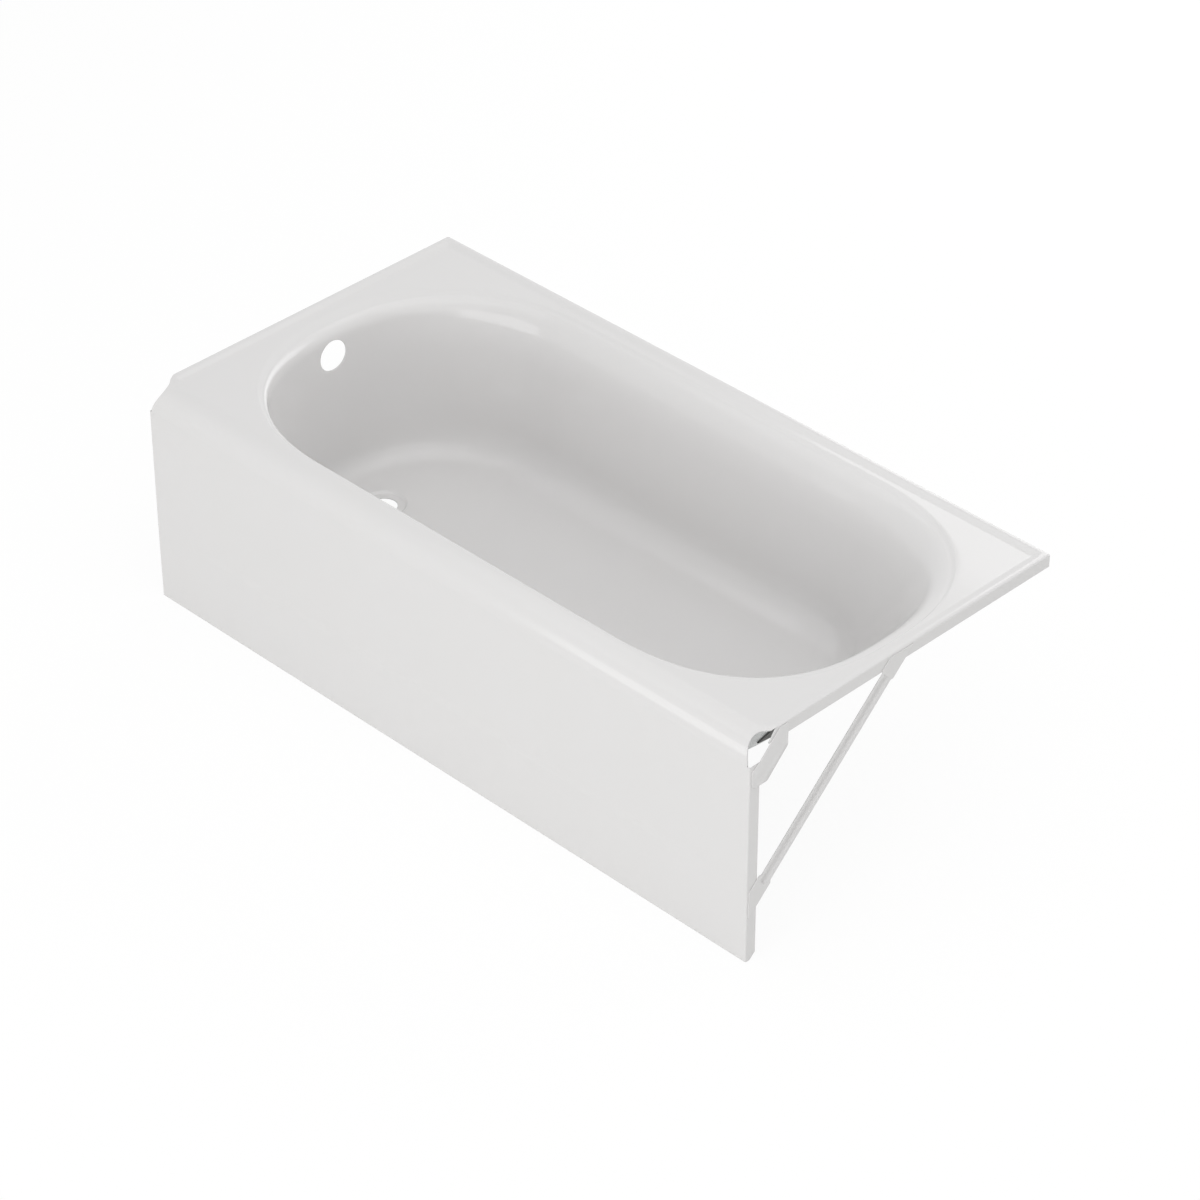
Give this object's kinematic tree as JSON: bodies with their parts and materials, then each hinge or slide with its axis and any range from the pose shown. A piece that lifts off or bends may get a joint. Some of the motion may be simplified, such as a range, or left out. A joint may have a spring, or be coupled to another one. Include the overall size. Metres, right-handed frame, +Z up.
{
  "type": "alcove bathtub",
  "caption": "White enamelled alcove bathtub with an integral apron, rolled front edge, rounded basin, left-hand drain and overflow holes, and end braces.",
  "frame": {"origin": "on the floor, under the middle of the bath", "axes": "+X along the bath from the drain end to the head end, +Y from the apron to the back wall, +Z up"},
  "size_m": [1.524, 0.76, 0.47],
  "materials": {
    "porcelain_enamel": "gloss porcelain enamel, white",
    "damping_sheet": "matt bitumen sheet, black",
    "bearer_foam": "expanded polystyrene, white"
  },
  "bodies": {
    "root": {"bath_shell": "porcelain_enamel", "apron_panel": "porcelain_enamel", "corner_gusset_left": "porcelain_enamel", "corner_gusset_right": "porcelain_enamel", "end_brace_left": "porcelain_enamel", "end_brace_right": "porcelain_enamel", "damping_pad_front": "damping_sheet", "damping_pad_back": "damping_sheet", "damping_pad_drain_end": "damping_sheet", "damping_pad_head_end": "damping_sheet", "damping_pad_floor_drain": "damping_sheet", "damping_pad_floor_head": "damping_sheet", "bearer_drain_end": "bearer_foam", "bearer_middle": "bearer_foam", "bearer_head_end": "bearer_foam"}
  },
  "joints": []
}
